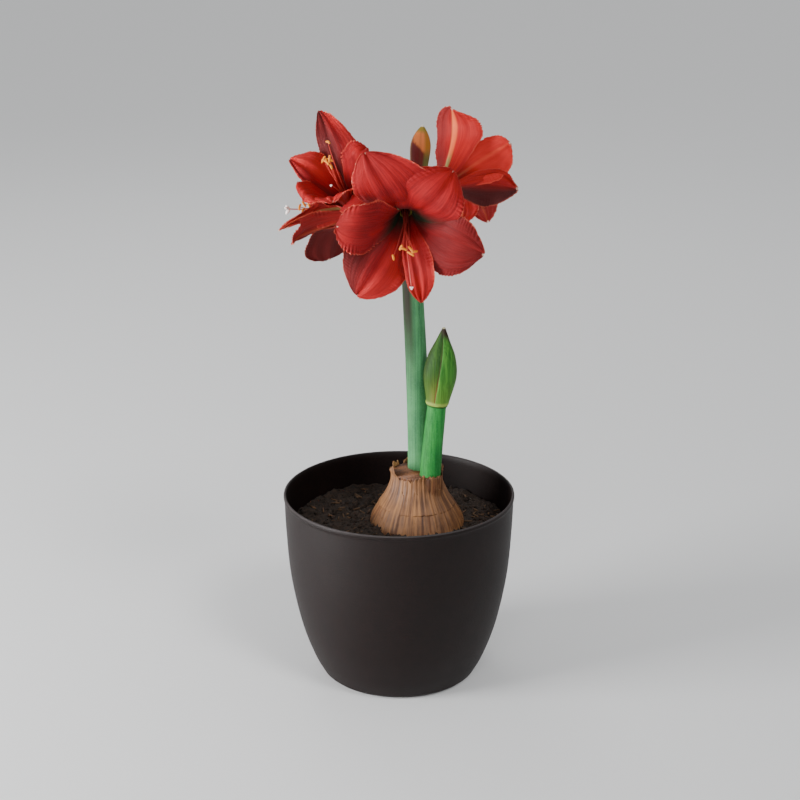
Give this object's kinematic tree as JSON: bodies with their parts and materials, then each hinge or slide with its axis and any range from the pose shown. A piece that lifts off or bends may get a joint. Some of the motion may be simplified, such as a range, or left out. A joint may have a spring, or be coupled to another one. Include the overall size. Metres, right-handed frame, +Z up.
{
  "type": "potted amaryllis",
  "caption": "Potted amaryllis: a bulb half out of the soil of a round tapered pot, a tall stem with trumpet blooms and a bud, and a short stem with a closed bud.",
  "frame": {"origin": "centre of the pot's foot, on the surface it stands on", "axes": "+Z up, -Y towards the viewer whom the front bloom faces, +X to that viewer's right"},
  "size_m": [0.221, 0.2232, 0.5433],
  "materials": {
    "pot": "matte",
    "soil": "rough",
    "bulb": "papery",
    "stem": "satin",
    "tepal": "satin",
    "stamen": "satin",
    "bud": "satin",
    "spathe": "matte",
    "sheath": "satin"
  },
  "bodies": {
    "root": {"pot": "pot", "soil": "soil", "bulb": "bulb", "flower_stem": "stem", "bloom_front": "tepal", "stamens_front": "stamen", "bloom_upper_left": "tepal", "stamens_upper_left": "stamen", "bloom_lower_left": "tepal", "stamens_lower_left": "stamen", "bloom_right": "tepal", "stamens_right": "stamen", "young_bud": "bud", "spathe_leaf_left": "spathe", "spathe_leaf_right": "spathe", "second_stem": "stem", "second_bud": "sheath"}
  },
  "joints": []
}
